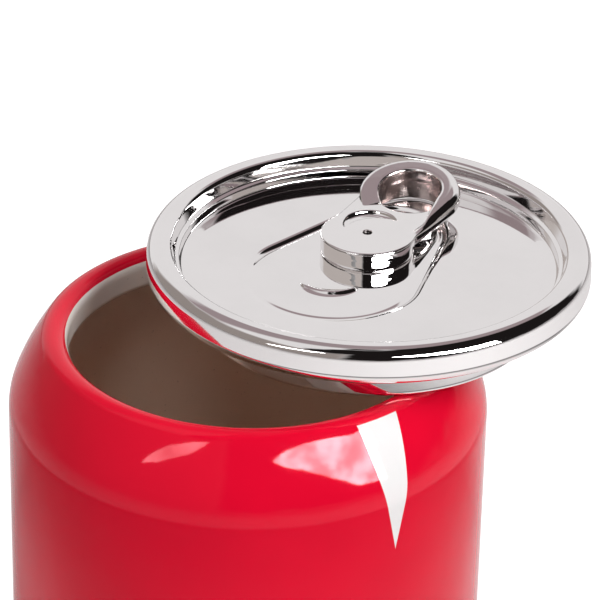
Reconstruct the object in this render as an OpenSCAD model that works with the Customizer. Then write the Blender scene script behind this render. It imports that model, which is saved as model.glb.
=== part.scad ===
// Lidded storage jar in the form of a drinks can.
// A glazed ceramic jar with a narrowed shoulder, and a bright metal lid shaped
// like a can end, whose ring-pull is the lid's handle.
// Origin: centre of the jar's flat base, +Z up, -Y is the front.
// The lid is placed as it is stored here: set askew, with its plug lying on the lip.

/* [Jar] */
// Radius of the straight wall
body_r = 82.5; // [70:0.5:95]
// Height of the lip's crest above the base
lip_z = 245; // [200:1:300]
// Radius of the flat base
foot_r = 60; // [50:1:64]
// Radius of the mouth at its narrowest
throat_r = 62; // [56:0.5:66]
// Thickness of the straight wall
wall = 6; // [4:0.5:9]
// Thickness of the floor
floor_t = 8; // [5:0.5:12]
// Slope from upright at the foot of the shoulder, degrees
shoulder_angle = 21; // [15:1:24]
// Radius of the shoulder's gentle swell
shoulder_r = 85; // [75:1:110]
// Radius of the rounded lip
lip_round = 5; // [3:0.5:6]
// Blend radius between the shoulder and the straight wall
shoulder_blend = 25; // [15:1:35]
// Height of the upright band inside the mouth
throat_h = 7; // [4:0.5:12]

/* [Lid] */
// Lid centre to the right of the jar's axis
lid_x = 40.3; // [0:0.1:42]
// Lid centre behind the jar's axis
lid_y = 14.4; // [0:0.1:18]
// Radius of the rim at its widest
rim_r = 76.2; // [72:0.1:80]
// Radius of the plug under the lid
plug_r = 59.5; // [54:0.1:61]
// Depth of the plug below the rim
plug_h = 13.4; // [8:0.1:20]
// Radius of the recessed panel
panel_r = 64.4; // [60:0.1:66]
// Depth of the recessed panel below the top of the rim
recess_h = 9; // [5:0.1:12]
// Thickness of the panel
panel_t = 2.5; // [1.5:0.1:3]
// Wall thickness of the hollow rim
rim_wall = 2.2; // [1.5:0.1:2.2]
// Wall thickness of the plug
plug_wall = 2; // [1:0.1:2.4]

/* [Pull tab] */
// Direction of the tab across the lid, degrees from +X
tab_angle = 60; // [0:5:355]
// Radius of the round nose
nose_r = 16.2; // [12:0.1:20]
// Height of the nose above the panel
nose_h = 6.8; // [6:0.1:9]
// Distance from the nose centre to the ring centre
ring_reach = 30.2; // [26:0.1:34]
// Radius of the finger hole
hole_r = 10.8; // [9:0.1:12]
// Half the width and height of the ring's thick band
band_r = 3.4; // [2.5:0.1:3.5]
// Upward tilt of the ring, degrees
ring_tilt = 9.5; // [6:0.5:11]
// Radius of a tab screw's thread
screw_r = 2; // [1.5:0.1:2.5]

/* [Hidden] */
$fn = 96;
arc_steps = 8;
// How far a cutting shape runs past the face that it opens
over = 1;

// Jar
lip_r = throat_r + lip_round;
lip_c = lip_z - lip_round;
blend_r = body_r - shoulder_blend;
// Angle at which the shoulder's swell runs into the round of the lip
lip_angle = acos((lip_r + (shoulder_r - shoulder_blend) * cos(shoulder_angle) - blend_r)
        / (shoulder_r - lip_round));
// Centre of the shoulder's swell
swell_r = lip_r - (shoulder_r - lip_round) * cos(lip_angle);
swell_z = lip_c - (shoulder_r - lip_round) * sin(lip_angle);
blend_z = swell_z + (shoulder_r - shoulder_blend) * sin(shoulder_angle);
inner_r = body_r - wall;
throat_z = lip_c - throat_h;
// The flare under the mouth meets the inside of the shoulder a little above its foot
flare_rise = 3;
flare_angle = shoulder_angle + flare_rise;
// Foot ring, and the heel that leans out from it at 45 degrees
foot_round = 2;
heel_round = 20;
heel_start = 3;
heel_z = heel_start + (body_r - foot_r - foot_round) + heel_round * (sqrt(2) - 1);
inner_foot_r = foot_r + foot_round - wall * sqrt(2) + floor_t - heel_start;

// Lid, measured from the underside of the plug
seat_gap = 0.2;
lid_z = lip_z + seat_gap;
rim_h = 13.5;
rim_low_round = 4.3;
rim_top_round = 4.5;
rim_inner_round = 2.3;
// The rim leans in a little, and its crest falls a little towards the panel
rim_lean = 0.4;
crest_w = 1.9;
crest_fall = 0.2;
rim_top_h = plug_h + rim_h;
panel_h = rim_top_h - recess_h;
panel_low = panel_h - panel_t;
rim_low_c = rim_r - rim_low_round;
rim_top_c = rim_low_c - rim_lean;
rim_inner_c = rim_top_c - crest_w;
// Narrow ledge part way up the inside of the rim
ledge_h = 3;
ledge_lean = 0.5;
ledge_w = 1.4;
ledge_rise = 0.7;
// Flange of the plug, which closes the hollow rim from below
flange_inset = 2.3;
flange_r = rim_low_c - flange_inset;
// Thickness of the wall between the recess and the hollow rim, at the panel
recess_wall = 2.4;
hollow_r = panel_r + recess_wall;
// Pressed outline round the tab: a large and a small circle and their tangents
outline_big_r = 29;
outline_small_r = 19;
outline_big_u = -23.5;
outline_small_u = 15;
groove_w = 2.2;
groove_h = 1.2;
// Finger mark: a short raised arc in front of the tab, from one direction round through a turn, in degrees
mark_x = -12.5;
mark_y = -9.3;
mark_r = 12.1;
mark_from = 214;
mark_turn = 94;
mark_bead = 1.2;

// Tab, measured along its own length from the nose centre
nose_x = -0.5;
nose_y = 10.3;
nose_round = 0.7;
// Shallow groove round the foot of the nose and half way up it
nose_groove = 0.5;
nose_seam_z = nose_h / 2;
nose_seam_half = 0.2;
// The ring's band, as high as it is wide, starts with a cut end and runs out in a straight leg,
// which thins on its inner side as it reaches the nose
band_c = hole_r + band_r;
band_round = 1.9;
band_end_angle = 130;
ring_c = 7.8;
ring_top = ring_c + band_r / cos(ring_tilt);
ring_low = ring_c - band_r / cos(ring_tilt);
leg_start = 5;
leg_outer_v = 15;
leg_end_w = 2.4;
leg_low = 2.2;
leg_overlap = 1;
// Collar that lines the hole, down to just above the panel
collar_r = 13.2;
collar_low = 0.6;
// Flat web, level with the top of the nose
web_near_half = 15;
web_far_half = 16.4;
web_t = 3.2;
// Thin moon-shaped pocket in the web: one circle less another
slot_depth = 1.4;
slot_outer = [6.2, 2.2];
slot_outer_r = 9.7;
slot_inner = [0.4, -4];
slot_inner_r = 12.8;
dimple_r = 1.6;
dimple_depth = 1.2;

// Fastening of the tab
screw_u = [-7, 7];
screw_reach = 5;
screw_end_gap = 0.5;
screw_hole_gap = 0.3;
screw_hole_r = screw_r + screw_hole_gap;
screw_head_ratio = 1.9;
screw_head_r = screw_r * screw_head_ratio;
screw_head_h = 2.6;
thread_gap = 0.05;
washer_r = 4.8;
washer_t = 0.8;

// Points along a round corner, from one angle to the other
function arc(cx, cy, r, a0, a1, steps = arc_steps) =
    [for (i = [0:steps]) let (a = a0 + (a1 - a0) * i / steps) [cx + r * cos(a), cy + r * sin(a)]];

// Places its children in the lid's own frame
module at_lid() {
    translate([lid_x, lid_y, lid_z]) children();
}

// Places its children at the tab's nose, on the panel, along the tab
module at_tab() {
    at_lid() translate([nose_x, nose_y, panel_h]) rotate([0, 0, tab_angle]) children();
}

// Places its children at the centre of the tab's ring, in its tilted plane
module on_ring() {
    translate([ring_reach, 0, ring_c]) rotate([0, -ring_tilt, 0]) children();
}

module jar_body() {
    color("crimson") rotate_extrude() polygon(concat(
        [[0, 0]],
        arc(foot_r, foot_round, foot_round, -90, 0, 3),
        [[foot_r + foot_round, heel_start]],
        arc(body_r - heel_round, heel_z, heel_round, -45, 0),
        arc(blend_r, blend_z, shoulder_blend, 0, shoulder_angle),
        arc(swell_r, swell_z, shoulder_r, shoulder_angle, lip_angle, 6),
        arc(lip_r, lip_c, lip_round, lip_angle, 180, 12),
        [[throat_r, throat_z]],
        arc(swell_r, swell_z, shoulder_r - wall, flare_angle, shoulder_angle, 2),
        arc(blend_r, blend_z, shoulder_blend - wall, shoulder_angle, 0),
        [[inner_r, floor_t + inner_r - inner_foot_r], [inner_foot_r, floor_t], [0, floor_t]]
    ));
}

// A rounded outline made of two circles and their common tangents
module drop_outline(grow) {
    big = outline_big_r + grow;
    small = outline_small_r + grow;
    lean = asin((big - small) / (outline_small_u - outline_big_u));
    translate([outline_big_u, 0]) circle(r = big);
    translate([outline_small_u, 0]) circle(r = small);
    polygon([
        [outline_big_u + big * sin(lean), big * cos(lean)],
        [outline_small_u + small * sin(lean), small * cos(lean)],
        [outline_small_u + small * sin(lean), -small * cos(lean)],
        [outline_big_u + big * sin(lean), -big * cos(lean)]
    ]);
}

module pressed_outline() {
    translate([nose_x, nose_y, panel_h - groove_h]) rotate([0, 0, tab_angle])
        linear_extrude(groove_h + over) difference() {
            drop_outline(groove_w / 2);
            drop_outline(-groove_w / 2);
        }
}

module finger_mark() {
    translate([mark_x, mark_y, panel_h]) rotate([0, 0, mark_from])
        rotate_extrude(angle = mark_turn) translate([mark_r, 0]) circle(r = mark_bead, $fn = 24);
}

// Hollow rolled rim and recessed panel
module lid_shell() {
    color("silver") at_lid() {
        difference() {
            rotate_extrude() polygon(concat(
                [[0, panel_h], [panel_r, panel_h], [panel_r + ledge_lean, panel_h + ledge_h]],
                [[panel_r + ledge_lean + ledge_w, panel_h + ledge_h + ledge_rise]],
                arc(rim_inner_c, rim_top_h - rim_inner_round - crest_fall, rim_inner_round, 180, 90),
                arc(rim_top_c, rim_top_h - rim_top_round, rim_top_round, 90, 5),
                arc(rim_low_c, plug_h + rim_low_round, rim_low_round, 5, -90),
                [[flange_r, plug_h], [flange_r, plug_h + rim_wall]],
                arc(rim_low_c, plug_h + rim_low_round, rim_low_round - rim_wall, -90, 5),
                arc(rim_top_c, rim_top_h - rim_top_round, rim_top_round - rim_wall, 5, 90),
                [[rim_inner_c, rim_top_h - rim_wall - crest_fall]],
                [[hollow_r, panel_low], [0, panel_low]]
            ));
            pressed_outline();
            for (u = screw_u)
                translate([nose_x + u * cos(tab_angle), nose_y + u * sin(tab_angle), 0])
                    cylinder(r = screw_hole_r, h = rim_top_h);
        }
        finger_mark();
    }
}

// Closed cup that drops into the jar's mouth, with a flange that closes the rim
module lid_plug() {
    color("gainsboro") at_lid() rotate_extrude() polygon(concat(
        [[0, 0]],
        arc(plug_r - plug_wall, plug_wall, plug_wall, -90, 0, 5),
        [[plug_r, plug_h], [flange_r, plug_h], [flange_r, panel_low]],
        [[plug_r - plug_wall, panel_low], [plug_r - plug_wall, plug_wall], [0, plug_wall]]
    ));
}

module moon_slot() {
    translate([0, 0, nose_h - slot_depth]) linear_extrude(slot_depth + over) difference() {
        translate(slot_outer) circle(r = slot_outer_r);
        translate(slot_inner) circle(r = slot_inner_r);
    }
}

module nose() {
    waist_r = nose_r - nose_groove;
    rotate_extrude() polygon(concat(
        [[0, 0], [waist_r, 0], [nose_r, nose_groove], [nose_r, nose_seam_z - nose_seam_half - nose_groove]],
        [[waist_r, nose_seam_z - nose_seam_half], [waist_r, nose_seam_z + nose_seam_half]],
        [[nose_r, nose_seam_z + nose_seam_half + nose_groove]],
        arc(nose_r - nose_round, nose_h - nose_round, nose_round, 0, 90, 3),
        [[0, nose_h]]
    ));
}

module web() {
    translate([0, 0, nose_h - web_t]) linear_extrude(web_t) polygon([
        [0, -web_near_half], [ring_reach, -web_far_half], [ring_reach, web_far_half], [0, web_near_half]
    ]);
}

// Round part of the ring, from its cut end to the right-hand side
module ring_band() {
    flat = band_r - band_round;
    on_ring() rotate([0, 0, -90]) rotate_extrude(angle = 90 + band_end_angle) polygon(concat(
        arc(band_c + flat, flat, band_round, 0, 90, 3), arc(band_c - flat, flat, band_round, 90, 180, 3),
        arc(band_c - flat, -flat, band_round, 180, 270, 3), arc(band_c + flat, -flat, band_round, 270, 360, 3)
    ));
}

// Straight leg that carries the ring's band on, down to the nose
module ring_leg() {
    end = ring_reach + leg_overlap;
    leg_top = ring_top - (ring_reach - leg_start) * tan(ring_tilt);
    intersection() {
        linear_extrude(ring_top + over) polygon([
            [leg_start, -leg_outer_v], [end, -band_c - band_r],
            [end, -band_c + band_r], [leg_start, -leg_outer_v + leg_end_w]
        ]);
        rotate([90, 0, 0]) linear_extrude(band_c + band_r + over) polygon([
            [leg_start, leg_low], [end, ring_low], [end, ring_top], [leg_start, leg_top]
        ]);
    }
}

// Tilted with the ring, and cut level at its foot
module collar() {
    difference() {
        on_ring() translate([0, 0, -ring_c]) cylinder(r = collar_r, h = ring_c);
        translate([ring_reach, 0, collar_low - ring_c])
            cylinder(r = collar_r + ring_c * sin(ring_tilt) + over, h = ring_c);
    }
}

module finger_hole() {
    half = ring_c + band_r;
    on_ring() translate([0, 0, -half]) cylinder(r = hole_r, h = 2 * half);
}

// Ring-pull that is the lid's handle
module pull_tab() {
    color("lightgray") at_tab() difference() {
        union() {
            nose();
            web();
            ring_band();
            ring_leg();
            collar();
        }
        finger_hole();
        moon_slot();
        translate([0, 0, nose_h - dimple_depth]) cylinder(r = dimple_r, h = dimple_depth + over);
        for (u = screw_u) translate([u, 0, -over]) cylinder(r = screw_r, h = screw_reach + over);
    }
}

// Pan-head screws driven up through the panel into the nose
module tab_screws() {
    color("darkgray") at_tab() for (u = screw_u) translate([u, 0, -panel_t - washer_t]) {
        cylinder(r = screw_r - thread_gap, h = panel_t + washer_t + screw_reach - screw_end_gap);
        translate([0, 0, -screw_head_h]) cylinder(r = screw_head_r, h = screw_head_h);
    }
}

// Flat washers under the screw heads
module tab_washers() {
    color("silver") at_tab() for (u = screw_u) translate([u, 0, -panel_t - washer_t]) difference() {
        cylinder(r = washer_r, h = washer_t);
        translate([0, 0, -over]) cylinder(r = screw_hole_r, h = washer_t + 2 * over);
    }
}

jar_body();
lid_shell();
lid_plug();
pull_tab();
tab_screws();
tab_washers();
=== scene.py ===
"""Looks of a lidded storage jar in the form of a drinks can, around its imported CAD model.

A red glazed jar with a taupe inside, and a mirror-bright lid that lies askew on its mouth.
Lengths named in millimetres are turned into metres by mm() where a mesh is made.
"""
import math

import bmesh
import bpy
import numpy as np
from mathutils import Matrix, Vector


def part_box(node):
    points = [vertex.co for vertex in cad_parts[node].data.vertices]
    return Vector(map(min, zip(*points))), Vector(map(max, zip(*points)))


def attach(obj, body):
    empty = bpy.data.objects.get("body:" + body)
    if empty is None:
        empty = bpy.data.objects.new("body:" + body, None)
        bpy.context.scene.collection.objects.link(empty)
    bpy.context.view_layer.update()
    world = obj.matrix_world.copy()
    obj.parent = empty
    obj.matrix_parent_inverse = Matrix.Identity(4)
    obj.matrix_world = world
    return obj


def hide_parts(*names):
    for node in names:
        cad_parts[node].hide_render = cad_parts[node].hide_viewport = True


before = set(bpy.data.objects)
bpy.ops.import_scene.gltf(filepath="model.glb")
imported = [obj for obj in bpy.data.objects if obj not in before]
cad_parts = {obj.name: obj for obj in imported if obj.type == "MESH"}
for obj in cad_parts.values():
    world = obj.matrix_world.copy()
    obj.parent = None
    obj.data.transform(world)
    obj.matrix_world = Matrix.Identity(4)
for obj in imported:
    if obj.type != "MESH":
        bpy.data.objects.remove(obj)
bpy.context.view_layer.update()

# ---------------------------------------------------------------- sizes, in millimetres
MM = 0.001
JAR_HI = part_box("jar_body")[1]
SHELL_LO, SHELL_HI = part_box("lid_shell")
PLUG_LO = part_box("lid_plug")[0]

# Jar, by radii and heights
BODY_R = JAR_HI.x / MM
LIP_Z = JAR_HI.z / MM
FOOT_R = 60.0
FOOT_ROUND = 2.0
FOOT_SIDE = FOOT_R + FOOT_ROUND
HEEL_START = 3.0
HEEL_ROUND = 20.0
THROAT_R = 62.0
THROAT_H = 7.0
LIP_ROUND = 5.0
WALL = 6.0
FLOOR_T = 8.0
SHOULDER = 21.0
SHOULDER_R = 85.0
SHOULDER_BLEND = 25.0
# Points round the jar and the plug
TURNED_COLS = 288

# Lid: the rim's section, the recessed panel and the plug
LID_C = ((SHELL_LO + SHELL_HI) / 2) / MM
LID_Z = PLUG_LO.z / MM
RIM_R = (SHELL_HI.x - SHELL_LO.x) / 2 / MM
PLUG_H = SHELL_LO.z / MM - LID_Z
RIM_H = 13.5
RECESS = 9.0
PANEL_H = PLUG_H + RIM_H - RECESS
PANEL_T = 2.5
PANEL_R = 64.4
PLUG_R = 59.5
PLUG_WALL = 2.0
RIM_LOW_ROUND = 4.3
RIM_TOP_ROUND = 4.5
RIM_INNER_ROUND = 2.3
RIM_WALL = 2.2
RIM_LEAN = 0.4
CREST_W = 1.9
CREST_FALL = 0.2
RIM_LOW_C = RIM_R - RIM_LOW_ROUND
FLANGE_INSET = 2.3
FLANGE_R = RIM_LOW_C - FLANGE_INSET
RECESS_WALL = 2.4
FILLET = 1.8
LEDGE_H = 3.0
LEDGE_LEAN = 0.5
LEDGE_W = 1.4
LEDGE_RISE = 0.7
LEDGE_ROUND = 0.5

# Ring-pull, in its own frame: along it, across it, and up from the panel
NOSE = (-0.5, 10.3)
TAB_ANGLE = math.radians(60)
NOSE_R = 16.2
NOSE_H = 6.8
RING_REACH = 30.2
RING_C = 7.8
RING_TILT = math.radians(9.5)
HOLE_R = 10.8
BAND_R = 3.4
BAND_C = HOLE_R + BAND_R
BAND_END = math.radians(130)
LEG_START = 5.0
LEG_OUTER = 15.0
LEG_LOW = 2.2
LEG_THINNING = 4.6
COLLAR_R = 13.2
COLLAR_LOW = 0.6
WEB_NEAR = 15.0
WEB_FAR = 16.4
WEB_T = 3.2
SLOT_DEPTH = 1.4
SLOT_OUTER = (6.2, 2.2, 9.7)
SLOT_INNER = (0.4, -4.0, 12.8)
DIMPLE_R = 1.6


def mm(points):
    """Millimetre points as an array in metres."""
    return np.asarray(points, float) * MM


# ---------------------------------------------------------------- mesh helpers
def arc(cx, cy, r, a0, a1, steps=12):
    """Points round a corner, from one angle to the other, in degrees."""
    angles = np.radians(np.linspace(a0, a1, steps + 1))
    return [(cx + r * math.cos(a), cy + r * math.sin(a)) for a in angles]


def rounded(corner, radius, steps=8):
    """Points of the round that blends a three-point corner."""
    a, b, c = (np.array(p, float) for p in corner)
    u, v = (a - b) / np.linalg.norm(a - b), (c - b) / np.linalg.norm(c - b)
    half = math.acos(float(np.clip(np.dot(u, v), -1, 1))) / 2
    reach = radius / math.tan(half)
    middle = b + (u + v) / np.linalg.norm(u + v) * radius / math.sin(half)
    start, end = b + u * reach - middle, b + v * reach - middle
    a0 = math.atan2(start[1], start[0])
    turn = (math.atan2(end[1], end[0]) - a0 + math.pi) % (2 * math.pi) - math.pi
    angles = [a0 + turn * i / steps for i in range(steps + 1)]
    return [tuple(middle + radius * np.array([math.cos(a), math.sin(a)])) for a in angles]


def supported(points, reach=0.5, longest=9.0):
    """A profile with extra points beside the corners of a long straight, so that it shades flat."""
    out = [points[0]]
    for a, b in zip(points, points[1:]):
        a, b = np.array(a, float), np.array(b, float)
        length = np.linalg.norm(b - a)
        if length < 1e-6:
            continue
        if length > 3 * reach:
            inner = max(int(length / longest), 1)
            stops = [reach / length]
            stops += [reach / length + (1 - 2 * reach / length) * i / inner for i in range(1, inner + 1)]
            out += [tuple(a + (b - a) * t) for t in stops]
        out.append(tuple(b))
    return out


def new_object(name, verts, faces, smooth=True):
    """A mesh object in the scene, from points in metres."""
    mesh = bpy.data.meshes.new(name)
    mesh.from_pydata([tuple(v) for v in verts], [], [tuple(f) for f in faces])
    mesh.validate()
    mesh.update()
    if smooth:
        mesh.shade_smooth()
    obj = bpy.data.objects.new(name, mesh)
    bpy.context.scene.collection.objects.link(obj)
    return obj


def lathe_faces(rows, cols):
    """Quads between successive rings, and fans to a pole before the first and after the last ring."""
    faces = []
    for i in range(rows - 1):
        for j in range(cols):
            k = (j + 1) % cols
            low, high = 1 + i * cols, 1 + (i + 1) * cols
            faces.append((low + j, low + k, high + k, high + j))
    last = 1 + rows * cols
    for j in range(cols):
        k = (j + 1) % cols
        faces.append((0, k + 1, j + 1))
        faces.append((last, last - cols + j, last - cols + k))
    return faces


def lathe(name, profile, centre=(0, 0, 0)):
    """A closed turned solid: its profile starts and ends on the axis, counter-clockwise in (r, z)."""
    rings = profile[1:-1]
    angles = np.linspace(0, 2 * math.pi, TURNED_COLS, endpoint=False)
    verts = [(centre[0], centre[1], centre[2] + profile[0][1])]
    for r, z in rings:
        verts += [(centre[0] + r * math.cos(a), centre[1] + r * math.sin(a), centre[2] + z) for a in angles]
    verts.append((centre[0], centre[1], centre[2] + profile[-1][1]))
    return new_object(name, mm(verts), lathe_faces(len(rings), TURNED_COLS))


# ---------------------------------------------------------------- material helpers
class Nodes:
    """A small wrapper that adds and links shader nodes."""

    def __init__(self, tree):
        self.tree = tree

    def add(self, kind, inputs=None, **settings):
        node = self.tree.nodes.new(kind)
        for key, value in settings.items():
            setattr(node, key, value)
        for key, value in (inputs or {}).items():
            if isinstance(value, bpy.types.NodeSocket):
                self.tree.links.new(value, node.inputs[key])
            else:
                node.inputs[key].default_value = value
        return node

    def math(self, operation, a, b=0.0):
        return self.add("ShaderNodeMath", {0: a, 1: b}, operation=operation).outputs[0]

    def hypot(self, a, b):
        return self.math("SQRT", self.math("ADD", self.math("POWER", a, 2.0), self.math("POWER", b, 2.0)))

    def map_range(self, value, lo, hi, to_lo=0.0, to_hi=1.0, smooth=True):
        node = self.add("ShaderNodeMapRange", {"Value": value, "From Min": lo, "From Max": hi,
                                               "To Min": to_lo, "To Max": to_hi},
                        interpolation_type="SMOOTHSTEP" if smooth else "LINEAR")
        return node.outputs["Result"]

    def noise(self, vector, scale, detail=4.0, rough=0.5):
        node = self.add("ShaderNodeTexNoise", {"Vector": vector, "Scale": scale, "Detail": detail,
                                               "Roughness": rough})
        return node.outputs["Fac"]

    def mix(self, fac, a, b):
        node = self.add("ShaderNodeMix", data_type="RGBA")
        for key, value in ((0, fac), (6, a), (7, b)):
            if isinstance(value, bpy.types.NodeSocket):
                self.tree.links.new(value, node.inputs[key])
            else:
                node.inputs[key].default_value = (*value, 1) if isinstance(value, tuple) else value
        return node.outputs[2]

    def bump(self, height, distance, strength=1.0, normal=None):
        inputs = {"Height": height, "Distance": distance, "Strength": strength}
        if normal is not None:
            inputs["Normal"] = normal
        return self.add("ShaderNodeBump", inputs).outputs["Normal"]


def material(name):
    """A new node material: (material, Nodes, Principled BSDF, object-space vector)."""
    mat = bpy.data.materials.new(name)
    mat.use_nodes = True
    nodes = Nodes(mat.node_tree)
    shader = mat.node_tree.nodes["Principled BSDF"]
    place = nodes.add("ShaderNodeTexCoord").outputs["Object"]
    return mat, nodes, shader, place


def link(nodes, output, shader, socket):
    """Joins a node's output to a socket of the shader."""
    nodes.tree.links.new(output, shader.inputs[socket])


# ---------------------------------------------------------------- materials
RED = (0.80, 0.004, 0.030)
RED_DEEP = (0.72, 0.003, 0.026)
TAUPE = (0.93, 0.72, 0.58)
# Painted light: the lighter taupe painted below the jar's mouth
TAUPE_PAINTED_LIT = (0.95, 0.90, 0.84)
SPECK = (0.06, 0.045, 0.035)
BISQUE = (0.70, 0.62, 0.52)
WHITE_GLAZE = (0.86, 0.85, 0.85)
CHROME = (0.84, 0.825, 0.825)
# Painted shade: the darker tone of the ring's hole lining, and the near black of its dimple
LINING_SHADE_TONE = (0.50, 0.43, 0.42)
DIMPLE_SHADE_TONE = (0.05, 0.045, 0.045)
ZINC = (0.46, 0.47, 0.48)
ZINC_LIGHT = (0.62, 0.62, 0.60)
# Levels of the attribute that carries painted shade: on the lining of the ring's hole, and in the dimple
# painted near black
LINING_SHADE_LEVEL = 0.5
DIMPLE_SHADE_LEVEL = 1.0


def glaze_material():
    """Glossy glaze: red outside, taupe inside, a plain white stripe, and a bare foot."""
    mat, n, shader, place = material("jar_glaze")
    zone = n.add("ShaderNodeAttribute", attribute_name="glaze_line").outputs["Fac"]
    xyz = n.add("ShaderNodeSeparateXYZ", {"Vector": place}).outputs
    # Red, with slow variation in the depth of the glaze
    cloud = n.noise(place, 14.0, 3.0)
    fine = n.noise(place, 160.0, 5.0)
    red = n.mix(n.map_range(cloud, 0.35, 0.75), RED, RED_DEEP)
    # Taupe inside, with painted light: lighter in a band below the mouth and fading down into the jar,
    # where light falls in
    throat = LIP_Z - LIP_ROUND - THROAT_H
    fade_height = n.math("ADD", xyz["Z"], n.math("MULTIPLY", cloud, 0.004))
    painted_lit_fade = n.map_range(fade_height, (throat - 30) * MM, (throat + 2) * MM, 0.0, 0.75, False)
    band = n.math("ADD", painted_lit_fade, n.map_range(fade_height, (throat - 1) * MM, (throat + 3) * MM, 0.0, 0.25))
    taupe = n.mix(band, TAUPE, TAUPE_PAINTED_LIT)
    speck = n.map_range(n.noise(place, 900.0, 2.0), 0.70, 0.76)
    taupe = n.mix(n.math("MULTIPLY", speck, 0.25), taupe, SPECK)
    # The hand-cut line between the two glazes
    wobble = n.math("MULTIPLY", n.math("SUBTRACT", n.noise(place, 60.0, 2.0), 0.5), 0.5)
    inside = n.map_range(n.math("ADD", zone, wobble), -0.12, 0.12)
    colour = n.mix(inside, n.mix(stripe_mask(n, xyz), red, WHITE_GLAZE), taupe)
    # Bare clay on the foot
    wipe = n.math("ADD", xyz["Z"], n.math("MULTIPLY", fine, 0.0006))
    foot = n.map_range(wipe, 0.0018, 0.0012)
    colour = n.mix(foot, colour, BISQUE)
    link(n, colour, shader, "Base Color")
    rough = n.math("ADD", n.math("MULTIPLY", fine, 0.035), n.math("MULTIPLY", cloud, 0.03))
    rough = n.math("ADD", rough, 0.02)
    rough = n.math("ADD", rough, n.math("MULTIPLY", foot, 0.6))
    link(n, rough, shader, "Roughness")
    # A fired glaze is very slightly uneven, like the skin of a fruit
    wave = n.bump(n.noise(place, 22.0, 2.0), 0.0009, 0.25)
    peel = n.bump(n.noise(place, 240.0, 2.0), 0.00003, 0.35, wave)
    link(n, peel, shader, "Normal")
    shader.inputs["Specular IOR Level"].default_value = 0.4
    shader.inputs["Specular Tint"].default_value = (1.0, 0.45, 0.5, 1.0)
    shader.inputs["IOR"].default_value = 1.52
    return mat


STRIPE_COUNT = 2
STRIPE_ANGLE = math.radians(-52.2)
STRIPE_TOP = LIP_Z - 1.5
STRIPE_FOOT = 197.0
STRIPE_TURN = math.radians(13.2)


def stripe_mask(n, xyz):
    """1 on plain flashes that taper downwards from the lip, repeated round the jar."""
    angle = n.math("ARCTAN2", xyz["Y"], xyz["X"])
    turn = 2 * math.pi / STRIPE_COUNT
    local = n.math("WRAP", n.math("SUBTRACT", angle, STRIPE_ANGLE), turn / 2)
    local.node.inputs[2].default_value = -turn / 2
    half = n.map_range(xyz["Z"], STRIPE_FOOT * MM, STRIPE_TOP * MM, -0.006, STRIPE_TURN / 2, False)
    inside = n.math("SUBTRACT", half, n.math("ABSOLUTE", local))
    soft = 0.15 / BODY_R
    top = n.map_range(xyz["Z"], (STRIPE_TOP + 0.15) * MM, (STRIPE_TOP - 0.15) * MM)
    radius = n.hypot(xyz["X"], xyz["Y"])
    outside = n.map_range(radius, (THROAT_R + LIP_ROUND) * MM, (THROAT_R + LIP_ROUND + 0.3) * MM)
    return n.math("MULTIPLY", n.math("MULTIPLY", n.map_range(inside, -soft, soft), top), outside)


def chrome_material(name, wave_strength=0.25):
    """Bright plating over a cast surface: faint waviness, haze and fine rubbing marks."""
    mat, n, shader, place = material(name)
    haze = n.noise(place, 35.0, 5.0, 0.6)
    stretched = n.add("ShaderNodeMapping", {"Vector": place, "Scale": (1.0, 14.0, 3.0)}).outputs[0]
    rub = n.noise(stretched, 120.0, 3.0)
    tone = n.mix(n.map_range(haze, 0.35, 0.75), CHROME, tuple(c * 0.965 for c in CHROME))
    # Painted shade from the attribute: the lining of the ring's hole is darkened, and the dimple is painted
    # near black
    painted_shade = n.add("ShaderNodeAttribute", attribute_name="painted_shade").outputs["Fac"]
    lining_shade = n.map_range(painted_shade, 0.0, LINING_SHADE_LEVEL)
    tone = n.mix(lining_shade, tone, LINING_SHADE_TONE)
    link(n, n.mix(n.map_range(painted_shade, LINING_SHADE_LEVEL + 0.1, DIMPLE_SHADE_LEVEL), tone, DIMPLE_SHADE_TONE), shader, "Base Color")
    hazy = n.map_range(haze, 0.35, 0.8, 0.025, 0.065)
    rough = n.math("ADD", hazy, n.map_range(rub, 0.55, 0.8, 0.0, 0.02))
    rough = n.math("ADD", rough, n.math("MULTIPLY", lining_shade, 0.22))
    link(n, rough, shader, "Roughness")
    wave = n.bump(n.noise(place, 28.0, 1.0), 0.0006, wave_strength)
    pits = n.bump(n.noise(place, 420.0, 2.0), 0.00001, 0.3, wave)
    link(n, pits, shader, "Normal")
    shader.inputs["Metallic"].default_value = 1.0
    return mat


def zinc_material():
    """Plain zinc-plated steel with a faint turned grain."""
    mat, n, shader, place = material("fastener_zinc")
    grain = n.noise(place, 900.0, 4.0)
    link(n, n.mix(grain, ZINC, ZINC_LIGHT), shader, "Base Color")
    link(n, n.map_range(grain, 0.3, 0.7, 0.28, 0.42), shader, "Roughness")
    link(n, n.bump(grain, 0.00002, 0.4), shader, "Normal")
    shader.inputs["Metallic"].default_value = 1.0
    return mat


# Distances from the jar's axis, in metres, over which the card under the paper starts and ends
CARD_START = (0.26, 0.42)
CARD_END = (0.46, 0.54)
CARD = (0.26, 0.26, 0.26)
PAPER = (0.94, 0.94, 0.94)
PAPER_LIGHT = (0.97, 0.97, 0.97)
# Glow that keeps the paper white to the eye, away from the lamps
PAPER_GLOW = 0.52


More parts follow.
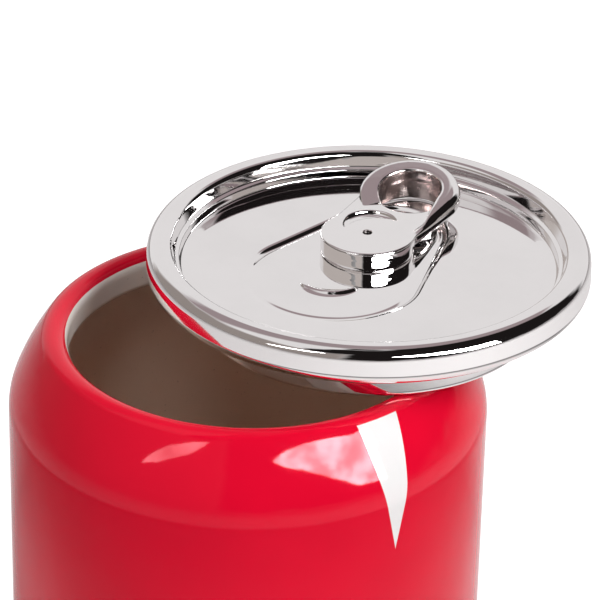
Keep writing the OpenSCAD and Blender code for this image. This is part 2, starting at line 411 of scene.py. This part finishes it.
def floor_material():
    """White paper to the eye, with a ring of dark card that only reflections show, open at the back."""
    mat, n, shader, place = material("studio_floor")
    soft = n.noise(place, 3.0, 2.0)
    paper = n.mix(soft, PAPER, PAPER_LIGHT)
    xyz = n.add("ShaderNodeSeparateXYZ", {"Vector": place}).outputs
    reach = n.hypot(xyz["X"], xyz["Y"])
    behind = n.map_range(n.math("DIVIDE", xyz["Y"], reach), 0.3, 0.95)
    card = n.math("MULTIPLY", n.map_range(reach, *CARD_START), n.map_range(reach, *reversed(CARD_END)))
    seen = n.add("ShaderNodeLightPath").outputs["Is Camera Ray"]
    pale = n.math("MAXIMUM", n.math("MAXIMUM", behind, n.math("SUBTRACT", 1.0, card)), seen)
    link(n, n.mix(pale, CARD, paper), shader, "Base Color")
    shader.inputs["Roughness"].default_value = 0.8
    shader.inputs["Specular IOR Level"].default_value = 0.0
    shader.inputs["Emission Color"].default_value = (1.0, 1.0, 1.0, 1.0)
    link(n, n.math("MULTIPLY", seen, PAPER_GLOW), shader, "Emission Strength")
    return mat


# ---------------------------------------------------------------- the jar
def jar_profile():
    """Outline of the glazed jar, from the centre of the base round the lip to the centre of the floor."""
    lip_r, lip_c = THROAT_R + LIP_ROUND, LIP_Z - LIP_ROUND
    blend_r = BODY_R - SHOULDER_BLEND
    low = math.radians(SHOULDER)
    shoulder_run = lip_r + (SHOULDER_R - SHOULDER_BLEND) * math.cos(low) - blend_r
    high = math.acos(shoulder_run / (SHOULDER_R - LIP_ROUND))
    swell_r = lip_r - (SHOULDER_R - LIP_ROUND) * math.cos(high)
    swell_z = lip_c - (SHOULDER_R - LIP_ROUND) * math.sin(high)
    blend_z = swell_z + (SHOULDER_R - SHOULDER_BLEND) * math.sin(low)
    lip_angle = math.degrees(high)
    heel_z = HEEL_START + (BODY_R - FOOT_SIDE) + HEEL_ROUND * (math.sqrt(2) - 1)
    # The heel leans out from the foot at 45 degrees, from a soft corner
    heel_low = HEEL_START + 1.2
    heel_run = 10.0
    heel_point = (FOOT_SIDE + heel_run, heel_low + heel_run)
    foot_corner = [(FOOT_SIDE, FOOT_ROUND), (FOOT_SIDE, heel_low), heel_point]
    outer = ([(0, 0)] + arc(FOOT_R, FOOT_ROUND, FOOT_ROUND, -90, 0, 6)
             + rounded(foot_corner, 2.0, 4)
             + arc(BODY_R - HEEL_ROUND, heel_z, HEEL_ROUND, -45, 0, 14)
             + arc(blend_r, blend_z, SHOULDER_BLEND, 0, SHOULDER, 12)
             + arc(swell_r, swell_z, SHOULDER_R, SHOULDER, lip_angle, 16)[1:]
             + arc(lip_r, lip_c, LIP_ROUND, lip_angle, 180, 30)[1:])
    inner_r = BODY_R - WALL
    inner_foot = FOOT_SIDE - WALL * math.sqrt(2) + FLOOR_T - HEEL_START
    throat = (THROAT_R, lip_c - THROAT_H)
    under = arc(swell_r, swell_z, SHOULDER_R - WALL, SHOULDER + 3, SHOULDER, 3)
    heel = (inner_r, FLOOR_T + inner_r - inner_foot)
    inner = (rounded([(THROAT_R, lip_c), throat, under[0]], 3.0)
             + under + arc(blend_r, blend_z, SHOULDER_BLEND - WALL, SHOULDER, 0, 8)[1:]
             + rounded([(inner_r, blend_z), heel, (inner_foot, FLOOR_T)], 14.0)
             + rounded([heel, (inner_foot, FLOOR_T), (0, FLOOR_T)], 10.0)
             + [(0, FLOOR_T)])
    return outer, inner


# Depth below the lip's crest at which red meets taupe, on the inner side of the lip
COLOUR_EDGE_DROP = 2.2


def build_jar():
    """The jar, with each point's distance from the line between the two glazes as an attribute."""
    outer, inner = jar_profile()
    profile = supported(outer + inner)
    obj = lathe("jar_glazed", profile)
    steps = np.linalg.norm(np.diff(np.array(profile), axis=0), axis=1)
    along = np.concatenate([[0], np.cumsum(steps)])
    lip = [i for i, (r, z) in enumerate(profile)
           if r < THROAT_R + LIP_ROUND and z > LIP_Z - LIP_ROUND and i > len(outer) // 2]
    z_edge = LIP_Z - COLOUR_EDGE_DROP
    edge = next(i for i in lip if profile[i][1] <= z_edge)
    t = (profile[edge - 1][1] - z_edge) / (profile[edge - 1][1] - profile[edge][1])
    line = along[edge - 1] + t * (along[edge] - along[edge - 1])
    values = [along[0] - line]
    for a in along[1:-1]:
        values += [a - line] * TURNED_COLS
    values.append(along[-1] - line)
    layer = obj.data.attributes.new("glaze_line", "FLOAT", "POINT")
    layer.data.foreach_set("value", np.clip(values, -40, 400).astype(np.float32))
    return obj


# ---------------------------------------------------------------- the lid's shell
# Pressed outline round the tab, as two circles and their tangents, and the finger mark in front of it
DROP_BIG_R = 29.0
DROP_SMALL_R = 19.0
DROP_BIG_U = -23.5
DROP_SMALL_U = 15.0
GROOVE_HALF = 1.25
GROOVE_DEPTH = 1.35
MARK_C = (-12.5, -9.3)
MARK_R = 12.1
MARK_MIDDLE = math.radians(-9)
MARK_HALF_ANGLE = math.radians(47)
MARK_HEIGHT = 1.2
MARK_WIDTH = 1.45
SHELL_COLS = 384
# The rings' centre lies this far behind the nose, inside the pressed outline
RINGS_BACK = 10
# Distances from the middle of the groove at which the panel's mesh has a ring
GROOVE_LEVELS = (0, 0.3, 0.6, 0.9, 1.2, 1.6, 2.2)
GROOVE_REACH = 3.0


def to_tab(x, y):
    """Lid coordinates as (along, across) from the tab's nose centre."""
    dx, dy = x - NOSE[0], y - NOSE[1]
    c, s = math.cos(TAB_ANGLE), math.sin(TAB_ANGLE)
    return dx * c + dy * s, -dx * s + dy * c


def drop_distance(x, y):
    """Signed distance from the pressed outline: the hull of a large and a small circle."""
    u, w = to_tab(x, y)
    w = np.abs(w)
    gap = DROP_SMALL_U - DROP_BIG_U
    lean = (DROP_BIG_R - DROP_SMALL_R) / gap
    cosine = math.sqrt(1 - lean * lean)
    u = u - DROP_BIG_U
    k = u * cosine - w * lean
    flank = u * lean + w * cosine - DROP_BIG_R
    return np.where(k < 0, np.hypot(u, w) - DROP_BIG_R,
                    np.where(k > gap * cosine, np.hypot(u - gap, w) - DROP_SMALL_R, flank))


def panel_height(x, y):
    """Height of the lid's panel over its own plane: the pressed outline and the raised finger mark."""
    u, w = to_tab(x, y)
    d = drop_distance(x, y)
    # The groove is shallow round its large end
    depth = GROOVE_DEPTH * (0.2 + 0.8 / (1 + np.exp(-(u + 26) / 4)))
    groove = -depth * np.exp(-(d / GROOVE_HALF) ** 2)
    mx, my = x - MARK_C[0], y - MARK_C[1]
    angle = np.arctan2(mx, -my) - MARK_MIDDLE
    ends = np.clip(np.abs(angle) - MARK_HALF_ANGLE, 0, None) * MARK_R
    off = np.hypot(np.hypot(mx, my) - MARK_R, ends)
    taper = 0.4 + 0.6 * np.cos(np.clip(angle / MARK_HALF_ANGLE, -1, 1) * math.pi / 2)
    mark = MARK_HEIGHT * np.exp(-(off / (MARK_WIDTH * taper)) ** 2)
    return groove + mark


def shell_rows():
    """Rings of the lid's top panel, as (x, y) arrays that follow the pressed outline."""
    cols = np.linspace(0, 2 * math.pi, SHELL_COLS, endpoint=False)
    cx = NOSE[0] - RINGS_BACK * math.cos(TAB_ANGLE)
    cy = NOSE[1] - RINGS_BACK * math.sin(TAB_ANGLE)
    dx, dy = np.cos(cols), np.sin(cols)

    def reach(level):
        lo, hi = np.zeros(SHELL_COLS), np.full(SHELL_COLS, 80.0)
        for _ in range(40):
            mid = (lo + hi) / 2
            far = drop_distance(cx + dx * mid, cy + dy * mid) > level
            hi = np.where(far, mid, hi)
            lo = np.where(far, lo, mid)
        return lo

    border = PANEL_R - 2 * FILLET
    b = cx * dx + cy * dy
    edge = -b + np.sqrt(b * b - (cx * cx + cy * cy) + border * border)
    rows = []
    near = reach(-GROOVE_REACH)
    rows += [near * i / 70 for i in range(1, 71)]
    rows += [reach(side * level) for side, levels in ((-1, GROOVE_LEVELS[:0:-1]), (1, GROOVE_LEVELS))
             for level in levels]
    far = reach(GROOVE_REACH)
    rows += [far + (edge - far) * i / 12 for i in range(0, 13)]
    return (cx, cy), [(cx + dx * r, cy + dy * r) for r in rows]


def rim_profile():
    """Outline of the hollow rim from the panel's border, over the top and back along the inside."""
    top = PLUG_H + RIM_H
    top_c = RIM_LOW_C - RIM_LEAN
    inner_c = top_c - CREST_W
    inner_z = top - RIM_INNER_ROUND - CREST_FALL
    wall_foot = (PANEL_R, PANEL_H)
    wall_top = (inner_c - RIM_INNER_ROUND, inner_z)
    under = PANEL_H - PANEL_T
    low_z = PLUG_H + RIM_LOW_ROUND
    ledge = (PANEL_R + LEDGE_LEAN, PANEL_H + LEDGE_H)
    crest = (PANEL_R + LEDGE_LEAN + LEDGE_W, PANEL_H + LEDGE_H + LEDGE_RISE)
    points = rounded([(0, PANEL_H), wall_foot, ledge], FILLET / 2, 8)
    points += rounded([wall_foot, ledge, crest], LEDGE_ROUND, 6)
    points += rounded([ledge, crest, wall_top], LEDGE_ROUND, 6)
    points += arc(inner_c, inner_z, RIM_INNER_ROUND, 165, 92, 12)
    points += arc(top_c, top - RIM_TOP_ROUND, RIM_TOP_ROUND, 90, 5, 18)
    points += arc(RIM_LOW_C, low_z, RIM_LOW_ROUND, 5, -90, 20)
    points += [(FLANGE_R, PLUG_H), (FLANGE_R, PLUG_H + RIM_WALL)]
    points += arc(RIM_LOW_C, low_z, RIM_LOW_ROUND - RIM_WALL, -90, 5, 8)
    points += arc(top_c, top - RIM_TOP_ROUND, RIM_TOP_ROUND - RIM_WALL, 5, 90, 8)
    points += [(inner_c, top - RIM_WALL - CREST_FALL), (PANEL_R + RECESS_WALL, under)]
    return supported(points, 0.35), under


def build_shell():
    """The lid's panel and hollow rim, as one closed mesh."""
    (cx, cy), rows = shell_rows()
    profile, under = rim_profile()
    base = np.array([LID_C.x, LID_C.y, LID_Z])
    verts = [base + (cx, cy, PANEL_H + float(panel_height(cx, cy)))]
    for x, y in rows:
        z = PANEL_H + panel_height(x, y)
        verts += list(base + np.stack([x, y, z], axis=1))
    bx, by = rows[-1]
    phi = np.arctan2(by, bx)
    for r, z in profile[1:]:
        verts += list(base + np.stack([r * np.cos(phi), r * np.sin(phi), np.full(SHELL_COLS, z)], axis=1))
    verts.append(base + (0, 0, under))
    count = len(rows) + len(profile) - 1
    faces = [tuple(reversed(f)) for f in lathe_faces(count, SHELL_COLS)]
    obj = new_object("lid_rim_and_panel", mm(verts), faces)
    fix_normals(obj)
    return obj


def fix_normals(obj):
    """Turns the faces of a closed mesh outwards."""
    bm = bmesh.new()
    bm.from_mesh(obj.data)
    bmesh.ops.recalc_face_normals(bm, faces=bm.faces)
    bm.to_mesh(obj.data)
    bm.free()
    obj.data.update()


# ---------------------------------------------------------------- the plug
PLUG_ROUND = 1.6
FLANGE_FILLET = 0.8
FLANGE_EDGE = 0.3


def build_plug():
    """The closed cup under the lid, with the flange that closes the rim."""
    top = PANEL_H - PANEL_T
    inner = PLUG_R - PLUG_WALL
    profile = [(0, 0)] + arc(PLUG_R - PLUG_ROUND, PLUG_ROUND, PLUG_ROUND, -90, 0, 8)
    profile += rounded([(PLUG_R, PLUG_WALL), (PLUG_R, PLUG_H), (FLANGE_R, PLUG_H)], FLANGE_FILLET, 5)
    profile += arc(FLANGE_R - FLANGE_EDGE, PLUG_H + FLANGE_EDGE, FLANGE_EDGE, -90, 0, 3)
    profile += [(FLANGE_R, top), (inner, top), (inner, PLUG_WALL), (0, PLUG_WALL)]
    return lathe("lid_plug_cup", supported(profile, 0.4), (LID_C.x, LID_C.y, LID_Z))


# ---------------------------------------------------------------- the pull tab
def smin(a, b, k):
    """Smooth union of two distance fields."""
    h = np.clip(0.5 + 0.5 * (b - a) / k, 0, 1)
    return b * (1 - h) + a * h - k * h * (1 - h)


def smax(a, b, k):
    """Smooth intersection of two distance fields."""
    return -smin(-a, -b, k)


def circle_distance(x, y, circle):
    """Signed distance from a circle given as (x, y, radius)."""
    return np.hypot(x - circle[0], y - circle[1]) - circle[2]


def tab_field(p):
    """Distance field of the ring-pull, in its own frame: x along it, z up from the panel."""
    x, y, z = p[..., 0], p[..., 1], p[..., 2]
    # Flat plate with the outline of the round nose and the web, over the nose's column
    half = WEB_NEAR + (WEB_FAR - WEB_NEAR) * np.clip(x / RING_REACH, 0, 1)
    plan = smax(np.abs(y) - half, np.maximum(-x, x - RING_REACH), 0.8)
    plan = smin(plan, np.hypot(x, y) - NOSE_R, 1.0)
    plate = smax(smax(plan, z - NOSE_H, 0.8), NOSE_H - WEB_T - z, 0.3)
    undercut = 0.35 * np.exp(-(z / 0.6) ** 2)
    column = smax(np.hypot(x, y) - NOSE_R + undercut, z - NOSE_H + 1.0, 0.1)
    # Thick tilted band, in the ring's own plane: round the hole from a cut end on the left,
    # then straight along the right to the nose
    c, s = math.cos(RING_TILT), math.sin(RING_TILT)
    xt = (x - RING_REACH) * c + (z - RING_C) * s
    zt = -(x - RING_REACH) * s + (z - RING_C) * c
    rr = np.hypot(xt, y)
    leg = (xt < 0) & (y < 0)
    run = np.clip(-xt / c / (RING_REACH - LEG_START), 0, None)
    centre = BAND_C - (BAND_C + BAND_R - LEG_OUTER) * run
    across = np.where(leg, -y - centre, rr - BAND_C)
    right = 0.5 - 0.5 * np.clip(y / BAND_C, -1, 1)
    leg_rise = (LEG_LOW - RING_C + BAND_R / c) * c + s * (RING_REACH - LEG_START)
    low = -zt - BAND_R + np.where(leg, leg_rise * run, 0)
    band = smax(across - BAND_R, zt - BAND_R, 1.6 + 2.6 * right * right)
    # The leg thins on its inner side before it reaches the nose
    narrow = np.where(leg, LEG_THINNING * np.clip(1.6 * run, 0, 1), 0)
    band = smax(band, -across - BAND_R + narrow, 1.4)
    band = smax(band, low, 2.0)
    # The cut end: a slope on top, then a square end
    past_end = math.cos(BAND_END) * y - math.sin(BAND_END) * xt
    ramp = np.maximum(0.26 * past_end + 0.96 * (zt - BAND_R) + 1.4, past_end - 3.0)
    band = smax(band, np.where(y > 0, ramp, LEG_START - x), 1.0)
    # Collar that lines the hole down to the panel
    collar = smax(rr - COLLAR_R, np.maximum(COLLAR_LOW - z, zt + 1), 0.5)
    body = smin(plate, column, 0.05)
    body = smin(smin(body, band, 0.7), collar, 0.7)
    body = smax(body, HOLE_R - rr, 0.7)
    # Thumb pocket and dimple
    moon = smax(circle_distance(x, y, SLOT_OUTER), -circle_distance(x, y, SLOT_INNER), 0.5)
    moon = smax(moon, NOSE_H - SLOT_DEPTH - z, 1.8)
    body = smax(body, -moon, 0.5)
    return np.maximum(smax(body, -dimple_distance(x, y, z), 0.15), -z)


def dimple_distance(x, y, z):
    """Signed distance from the ball that cuts the dimple in the top of the nose."""
    return np.sqrt(x * x + y * y + (z - NOSE_H) ** 2) - DIMPLE_R


def surface_net(field, lo, hi, step):
    """Mesh of a distance field's zero surface: one vertex in each grid cell that it crosses."""
    axes = [np.arange(a, b + step, step) for a, b in zip(lo, hi)]
    grid = np.stack(np.meshgrid(*axes, indexing="ij"), axis=-1)
    value = field(grid)
    sign = value < 0
    shape = np.array(value.shape) - 1
    total = np.zeros((*shape, 3))
    hits = np.zeros(shape)
    corners = [(i, j, k) for i in (0, 1) for j in (0, 1) for k in (0, 1)]

    def part(a, c):
        return a[c[0]:c[0] + shape[0], c[1]:c[1] + shape[1], c[2]:c[2] + shape[2]]

    for a in corners:
        for axis in range(3):
            if a[axis]:
                continue
            b = tuple(v + (i == axis) for i, v in enumerate(a))
            va, vb = part(value, a), part(value, b)
            cross = part(sign, a) != part(sign, b)
            t = np.where(cross, va / np.where(cross, va - vb, 1), 0)
            point = np.broadcast_to(np.array(a, float), (*shape, 3)).copy()
            point[..., axis] += t
            total += point * cross[..., None]
            hits += cross
    active = hits > 0
    index = np.full(tuple(shape), -1)
    index[active] = np.arange(active.sum())
    cells = np.argwhere(active)
    verts = np.array(lo) + (cells + total[active] / hits[active][:, None]) * step
    faces = []
    for axis in range(3):
        u, v = (axis + 1) % 3, (axis + 2) % 3
        a = [slice(None)] * 3
        b = [slice(None)] * 3
        a[axis], b[axis] = slice(0, -1), slice(1, None)
        change = sign[tuple(a)] != sign[tuple(b)]
        places = np.argwhere(change)
        pu, pv = places[:, u], places[:, v]
        places = places[(pu > 0) & (pv > 0) & (pu < shape[u]) & (pv < shape[v])]
        inside_first = sign[tuple(a)][tuple(places.T)]
        ring = []
        for du, dv in ((-1, -1), (0, -1), (0, 0), (-1, 0)):
            q = places.copy()
            q[:, u] += du
            q[:, v] += dv
            ring.append(index[tuple(q.T)])
        quad = np.stack(ring, axis=1)
        quad[~inside_first] = quad[~inside_first][:, ::-1]
        faces.append(quad)
    verts = settle(field, verts, step)
    return verts, np.concatenate(faces)


def settle(field, verts, step, rounds=3):
    """Moves each vertex onto the zero surface along the field's slope."""
    eps = step * 0.2
    for _ in range(rounds):
        value = field(verts)
        slope = np.stack([(field(verts + step_in) - field(verts - step_in)) / (2 * eps)
                          for step_in in eps * np.eye(3)], axis=-1)
        size = np.maximum((slope ** 2).sum(-1), 0.25)
        move = slope * (value / size)[:, None]
        verts = verts - np.clip(move, -step / 2, step / 2)
    return verts


# Grid step of the ring-pull's mesh
TAB_STEP = 0.34


def build_tab():
    """The ring-pull, with painted shade in its hole and in its dimple as an attribute."""
    lo = (-NOSE_R - 1.0, -BAND_C - BAND_R - 1.0, -0.9)
    hi = (RING_REACH + BAND_C + BAND_R + 1.5, BAND_C + BAND_R + 1.0, RING_C + BAND_R + 4.0)
    verts, faces = surface_net(tab_field, lo, hi, TAB_STEP)
    # Painted shade: the dimple is painted near black, and the lining of the hole is darkened
    painted_shade = np.clip(1.3 - dimple_distance(*verts.T) / 0.35, 0, 1) * (verts[:, 2] < NOSE_H - 0.05)
    hole_x = RING_REACH + (RING_C - verts[:, 2]) * math.tan(RING_TILT)
    lining = np.hypot(verts[:, 0] - hole_x, verts[:, 1])
    painted_shade = np.maximum(painted_shade, LINING_SHADE_LEVEL * np.clip((HOLE_R + 0.6 - lining) / 0.4, 0, 1))
    turn = Matrix.Rotation(TAB_ANGLE, 3, "Z")
    verts = verts @ np.array(turn).T
    verts[:, 2] = np.maximum(verts[:, 2], 0)
    verts = verts + (LID_C.x + NOSE[0], LID_C.y + NOSE[1], LID_Z + PANEL_H)
    obj = new_object("ring_pull", mm(verts), faces)
    layer = obj.data.attributes.new("painted_shade", "FLOAT", "POINT")
    layer.data.foreach_set("value", painted_shade.astype(np.float32))
    fix_normals(obj)
    return obj


# ---------------------------------------------------------------- stage
CAMERA_ELEVATION = math.radians(29.15)
CAMERA_ROLL = math.radians(1.28)
CAMERA_DISTANCE = 1.1893
TARGET_RIGHT = 17.1
TARGET_RISE = 11.4
CAMERA_TARGET = Vector((TARGET_RIGHT, 0.0, LIP_Z + TARGET_RISE)) * MM
CAMERA_LENS = 210.0


def build_camera():
    """A long lens from the front, looking down at the mouth and the lid."""
    forward = Vector((0, math.cos(CAMERA_ELEVATION), -math.sin(CAMERA_ELEVATION)))
    right = Vector((1, 0, 0))
    up = right.cross(forward)
    c, s = math.cos(CAMERA_ROLL), math.sin(CAMERA_ROLL)
    side = right * c + up * s
    top = -right * s + up * c
    camera = bpy.data.objects.new("camera", bpy.data.cameras.new("camera"))
    camera.data.lens = CAMERA_LENS
    camera.data.sensor_width = 36.0
    camera.data.clip_end = 50
    turn = Matrix((side, top, -forward)).transposed()
    camera.matrix_world = Matrix.Translation(CAMERA_TARGET - forward * CAMERA_DISTANCE) @ turn.to_4x4()
    bpy.context.scene.collection.objects.link(camera)
    bpy.context.scene.camera = camera


def build_floor():
    """A wide sheet of white paper at the height of the jar's base."""
    half = 6.0
    verts = [(-half, -half, 0), (half, -half, 0), (half, half, 0), (-half, half, 0)]
    floor = new_object("floor", verts, [(0, 1, 2, 3)], smooth=False)
    floor.data.materials.append(floor_material())


def toward(azimuth, elevation, distance=1.0):
    """A point in that direction: azimuth from the front towards the right, both in degrees."""
    a, e = math.radians(azimuth), math.radians(elevation)
    return Vector((math.sin(a) * math.cos(e), -math.cos(a) * math.cos(e), math.sin(e))) * distance


SOFTBOX_DISTANCE = 1.8
SOFTBOX_CENTRE = Vector((0, 0, 0.24))


def softbox(name, outline, radiance, fade, second=1.0):
    """A glowing panel whose outline is a list of directions; fade says how soft its skin is,
    and second how strong it stays in a reflection of a reflection."""
    verts = [SOFTBOX_CENTRE + toward(a, e, SOFTBOX_DISTANCE) for a, e in outline]
    middle = sum(verts, Vector()) / len(verts)
    rim = len(verts)
    faces = [(i, (i + 1) % rim, rim) for i in range(rim)]
    obj = new_object(name, verts + [middle], faces, smooth=False)
    mat = bpy.data.materials.new(name)
    mat.use_nodes = True
    n = Nodes(mat.node_tree)
    n.tree.nodes.remove(n.tree.nodes["Principled BSDF"])
    place = n.add("ShaderNodeTexCoord").outputs["Object"]
    patchy = n.map_range(n.noise(place, 3.5, 2.0), 0.3, 0.7, 1 - fade, 1.0)
    bounces = n.add("ShaderNodeLightPath").outputs["Glossy Depth"]
    patchy = n.math("MULTIPLY", patchy, n.map_range(bounces, 1.4, 1.6, 1.0, second))
    glow = n.add("ShaderNodeEmission", {"Strength": n.math("MULTIPLY", patchy, radiance)})
    n.tree.links.new(glow.outputs[0], n.tree.nodes["Material Output"].inputs["Surface"])
    obj.data.materials.append(mat)
    obj.visible_camera = False
    obj.visible_diffuse = False


def diffuser(name, azimuth, elevation, distance, size, power):
    """A broad soft lamp that gives light and no highlight."""
    data = bpy.data.lights.new(name, "AREA")
    data.shape = "DISK"
    data.size = size
    data.energy = power
    lamp = bpy.data.objects.new(name, data)
    lamp.location = SOFTBOX_CENTRE + toward(azimuth, elevation, distance)
    lamp.rotation_euler = (SOFTBOX_CENTRE - lamp.location).to_track_quat("-Z", "Y").to_euler()
    lamp.visible_glossy = False
    bpy.context.scene.collection.objects.link(lamp)


TENT = (0.86, 0.84, 0.84)
WARM_WALL = (0.33, 0.29, 0.27)
WARM_WALL_AGAIN = (0.62, 0.57, 0.54)
MAUVE = (0.36, 0.29, 0.30)
DARK = (0.012, 0.010, 0.010)


def build_world():
    """A pale studio tent with soft edges: open and dark at the front right, mauve high at the back,
    and a warm wall along the left. Directions are degrees from the front towards the right, and up."""
    world = bpy.data.worlds.new("studio")
    bpy.context.scene.world = world
    world.use_nodes = True
    n = Nodes(world.node_tree)
    background = world.node_tree.nodes["Background"]
    degree = 180 / math.pi
    way = n.add("ShaderNodeTexCoord").outputs["Generated"]
    xyz = n.add("ShaderNodeSeparateXYZ", {"Vector": way}).outputs
    ragged = n.math("MULTIPLY", n.math("SUBTRACT", n.noise(way, 4.0, 2.0), 0.5), 14.0)
    azimuth = n.math("ARCTAN2", xyz["X"], n.math("MULTIPLY", xyz["Y"], -1.0))
    azimuth = n.math("ADD", n.math("MULTIPLY", azimuth, degree), ragged)
    elevation = n.math("ADD", n.math("MULTIPLY", n.math("ARCSINE", xyz["Z"]), degree), ragged)

    def window(value, lo, hi, soft):
        rise = n.map_range(value, lo - soft, lo + soft)
        return n.math("MULTIPLY", rise, n.map_range(value, hi + soft, hi - soft))

    dark = n.math("MULTIPLY", window(azimuth, -12, 128, 4), window(elevation, -2, 84, 4))
    high = n.math("MULTIPLY", window(azimuth, -36, 128, 4), window(elevation, 40, 84, 4))
    dark = n.math("MAXIMUM", n.math("MAXIMUM", dark, high), n.map_range(elevation, 83, 87))
    far = n.math("MULTIPLY", n.map_range(xyz["Y"], 0.0, 0.2), n.map_range(elevation, 40, 46))
    warm = n.math("MULTIPLY", window(azimuth, -135, -12, 5), window(elevation, -10, 42, 5))
    # The warm wall is paler in a reflection of a reflection, as on the side of the ring-pull
    rays = n.add("ShaderNodeLightPath").outputs
    again = n.map_range(rays["Glossy Depth"], 1.4, 1.6)
    wall = n.mix(again, WARM_WALL, WARM_WALL_AGAIN)
    dome = n.mix(warm, TENT, wall)
    dome = n.mix(far, dome, MAUVE)
    dome = n.mix(dark, dome, DARK)
    # White behind the floor's far edge, where the eye looks past the paper
    dome = n.mix(rays["Is Camera Ray"], dome, (1.0, 1.0, 1.0))
    n.tree.links.new(dome, background.inputs["Color"])
    background.inputs["Strength"].default_value = 1.0


# Outlines of the glowing panels, as directions in degrees: from the front towards the right, and up
LEFT_BOX = [(-50, 17), (-47, 22), (-41, 28), (-31, 32.5), (-20, 36), (-22, 33), (-29, 28), (-36, 24),
            (-43, 20)]
RIGHT_BOX = [(13, 28.5), (21, 32.5), (30, 33.5), (46, 32), (56, 28.5), (66, 27), (66, 5), (52, 8), (41, 15),
             (27, 23), (20, 25)]


def build_stage():
    """Camera, floor, studio tent, two glowing panels for the reflections and two lamps for the light."""
    build_camera()
    build_floor()
    build_world()
    scene = bpy.context.scene
    scene.view_settings.view_transform = "Standard"
    scene.view_settings.look = "None"
    softbox("softbox_left", LEFT_BOX, 11.0, 0.5, 0.04)
    softbox("softbox_right", RIGHT_BOX, 42.0, 0.6)
    diffuser("key", 52, 40, 2.0, 0.9, 34.0)
    diffuser("fill", -15, 62, 1.8, 0.7, 8.0)


# ---------------------------------------------------------------- assembly
def finish_piece(obj, node, body, mat):
    """Gives a piece its material, and lets it stand for a CAD node on a body."""
    obj.data.materials.append(mat)
    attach(obj, body)
    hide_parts(node)


build_stage()
lid_chrome = chrome_material("lid_chrome")
tab_chrome = chrome_material("tab_chrome", 0.12)
finish_piece(build_jar(), "jar_body", "jar", glaze_material())
finish_piece(build_shell(), "lid_shell", "lid", lid_chrome)
finish_piece(build_plug(), "lid_plug", "lid", lid_chrome)
finish_piece(build_tab(), "pull_tab", "lid", tab_chrome)
zinc = zinc_material()
for name in ("tab_screws", "tab_washers"):
    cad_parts[name].data.materials.clear()
    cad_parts[name].data.materials.append(zinc)
